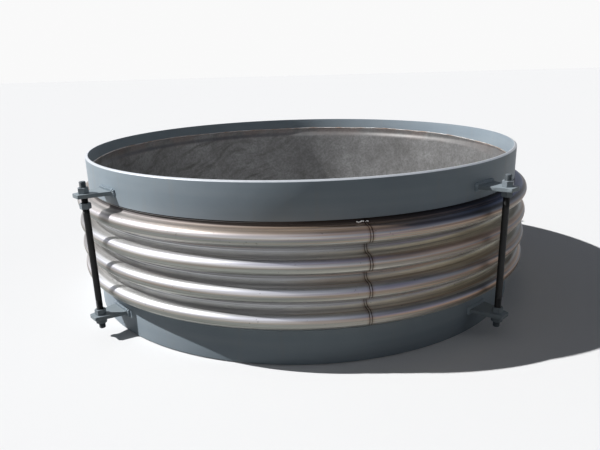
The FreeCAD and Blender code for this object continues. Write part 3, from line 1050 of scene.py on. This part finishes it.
bead_steel = bare_bead("bead_steel", (0.50, 0.49, 0.47), (0.27, 0.19, 0.14))
seal_radius = bore - 0.0016
seal_rise = 0.0005
collar_radius = bore - 0.0018
collar_foot = end_length - collar_length
seal_ring, collar_ring = [], []
for angle in [math.tau * step / 360 for step in range(361)]:
    seal_height = liner_top.z + trim_line(angle) + seal_rise
    seal_ring.append((seal_radius * math.cos(angle), seal_radius * math.sin(angle), seal_height))
    collar_ring.append((collar_radius * math.cos(angle), collar_radius * math.sin(angle), collar_foot))
look = {"Spacing": 0.0045, "Length": 0.0075, "Width": 0.0045, "Height": 0.005, "Seed": 8}
look["Finish"] = bead_steel
seal = made_by(weld_bead, "liner_seal_weld", look, path_mesh("liner_edge", [seal_ring]))
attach(seal, "upper_end")
root_weld = made_by(weld_bead, "bellows_collar_weld", look, path_mesh("collar_edge", [collar_ring]))
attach(root_weld, "lower_end")


def seam_tree():
    """The seam's path: the wave line, stood in the seam's own plane."""
    nodes, sizes = new_tree("seam_path", WAVE_INPUTS | {"Turn": ("Float", seam_turn - quarter)})
    about = {"Geometry": wave_line(nodes, sizes), "Rotation": nodes.join(0, 0, sizes["Turn"])}
    stood = nodes.add("GeometryNodeTransform", about).outputs[0]
    end_tree(nodes, nodes.add("GeometryNodeCurveToMesh", {"Curve": stood}).outputs[0], sizes["Finish"])
    return nodes


seam_path = made_by(seam_tree(), "seam_path", {})
look = {
    "Spacing": 0.0022,
    "Length": 0.0048,
    "Width": 0.0046,
    "Height": 0.0006,
    "Unevenness": 0.06,
    "Across": (math.cos(seam_turn), math.sin(seam_turn), 0),
    "Finish": bellows_steel,
}
seam = made_by(weld_bead, "bellows_seam_weld", look, seam_path.data.copy(), 60)
bpy.data.objects.remove(seam_path)
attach(seam, "lower_end")

# Where the seam bead was stopped under the upper ring: three short runs, each from one turn to another
# in degrees from the seam, out on the curve of the topmost root.
stop_drop = 0.011
stop_waver = 0.0015
stop_rise = 0.001
stop_radius = root_radius + root_curve - math.sqrt(root_curve**2 - stop_drop**2) + stop_rise
stop_runs = []
for start_turn, end_turn in ((-1.8, -0.95), (-0.6, -0.1), (0.15, 0.3)):
    run = []
    for share in np.linspace(0, 1, 5):
        angle = seam_turn - quarter + math.radians(start_turn + (end_turn - start_turn) * share)
        height = joint_top - end_length - stop_drop + stop_waver * math.sin(5 * share + 9 * start_turn)
        run.append((stop_radius * math.cos(angle), stop_radius * math.sin(angle), height))
    stop_runs.append(run)
bright_bead = bare_bead("bright_bead", (0.92, 0.92, 0.90), (0.55, 0.52, 0.48))
look = {"Spacing": 0.0042, "Length": 0.0045, "Width": 0.0035, "Height": 0.003, "Unevenness": 0.5}
look |= {"Seed": 3, "Finish": bright_bead}
stops = made_by(weld_bead, "bellows_seam_stops", look, path_mesh("stops", stop_runs))
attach(stops, "lower_end")

for piece in (bellows, seam, stops):
    squeeze_with_joint(piece)


# ---- The floor, the light and the camera
# A pale floor under open light: a strong lamp high on the left, and a dim surround. The surround, like
# the floor, is pale where it is looked at or mirrored, and dim in the light that it gives.


def seen_or_mirrored(nodes):
    """1 to the eye, in reflections and through glass, and 0 in the light thrown on other things."""
    ray = nodes.add("ShaderNodeLightPath").outputs
    seen = nodes.maths("MAXIMUM", ray["Is Camera Ray"], ray["Is Glossy Ray"])
    return nodes.maths("MAXIMUM", seen, ray["Is Transmission Ray"])


def pale_floor():
    """A matt floor, pale to look at and dull in the light that it throws back."""
    finish, nodes, _ = new_finish("pale_floor")
    colour = nodes.blend(seen_or_mirrored(nodes), (0.16, 0.16, 0.15), (0.84, 0.84, 0.84))
    nodes.surface({"Base Color": colour, "Roughness": 1.0, "Specular IOR Level": 0.0})
    return finish


floor_reach = 40
corner_points = [(-floor_reach, -floor_reach, 0), (floor_reach, -floor_reach, 0)]
corner_points += [(floor_reach, floor_reach, 0), (-floor_reach, floor_reach, 0)]
floor_mesh = bpy.data.meshes.new("floor")
floor_mesh.from_pydata(corner_points, [], [(0, 1, 2, 3)])
floor = bpy.data.objects.new("floor", floor_mesh)
floor_mesh.materials.append(pale_floor())
scene.collection.objects.link(floor)

world = bpy.data.worlds.new("surround")
world.use_nodes = True
world.node_tree.nodes.clear()
sky = Nodes(world.node_tree)
ways = sky.split(sky.add("ShaderNodeTexCoord").outputs["Generated"])
rise = ways[2]
to_right = sky.between(ways[0], -0.8, 0.8)
pale = (0.95, 0.95, 0.95)
haze = (0.90, 0.93, 1.0)
bright_side = sky.ramp(
    rise,
    [
        (0.00, pale),
        (0.14, pale),
        (0.24, (0.64, 0.66, 0.70)),
        (0.42, haze),
        (0.85, haze),
        (1.00, (0.50, 0.53, 0.60)),
    ],
)
dim_side = sky.ramp(
    rise,
    [
        (0.00, pale),
        (0.14, pale),
        (0.40, (0.17, 0.20, 0.27)),
        (1.00, (0.14, 0.17, 0.25)),
    ],
)
seen_sky = sky.blend(sky.between(ways[0], 0.1, 0.45), bright_side, dim_side)
unseen_sky = sky.blend(to_right, (0.13, 0.14, 0.16), (0.035, 0.038, 0.044))
glow = sky.blend(seen_or_mirrored(sky), unseen_sky, seen_sky)
backdrop = sky.add("ShaderNodeBackground", {"Color": glow, "Strength": 1.0})
sky.add("ShaderNodeOutputWorld", {"Surface": backdrop.outputs[0]})
scene.world = world


def add_lamp(name, turn, height, strength, spread):
    """A far lamp. turn is from the front towards the right, and height is above the floor, in degrees."""
    lamp = bpy.data.lights.new(name, "SUN")
    lamp.energy = strength
    lamp.angle = math.radians(spread)
    holder = bpy.data.objects.new(name, lamp)
    holder.rotation_euler = (math.radians(90 - height), 0, math.radians(turn))
    scene.collection.objects.link(holder)


add_lamp("key", -89, 45, 4.4, 0.8)
add_lamp("side_fill", 80, 30, 0.10, 30)

view = bpy.data.cameras.new("view")
view.lens = 32.67
view.sensor_width = 36
camera = bpy.data.objects.new("view", view)
step_aside = math.radians(2.75)
distance = 2.1883
eye_height = 0.8279
look_aside = math.radians(3.031)
look_down = math.radians(16.467)
head_tilt = math.radians(-1.586)
camera.location = (distance * math.sin(step_aside), -distance * math.cos(step_aside), eye_height)
aim = Matrix.Rotation(look_aside, 3, "Z") @ Matrix.Rotation(math.radians(90) - look_down, 3, "X")
camera.rotation_euler = (aim @ Matrix.Rotation(head_tilt, 3, "Z")).to_euler()
scene.collection.objects.link(camera)
scene.camera = camera
scene.view_settings.view_transform = "Standard"
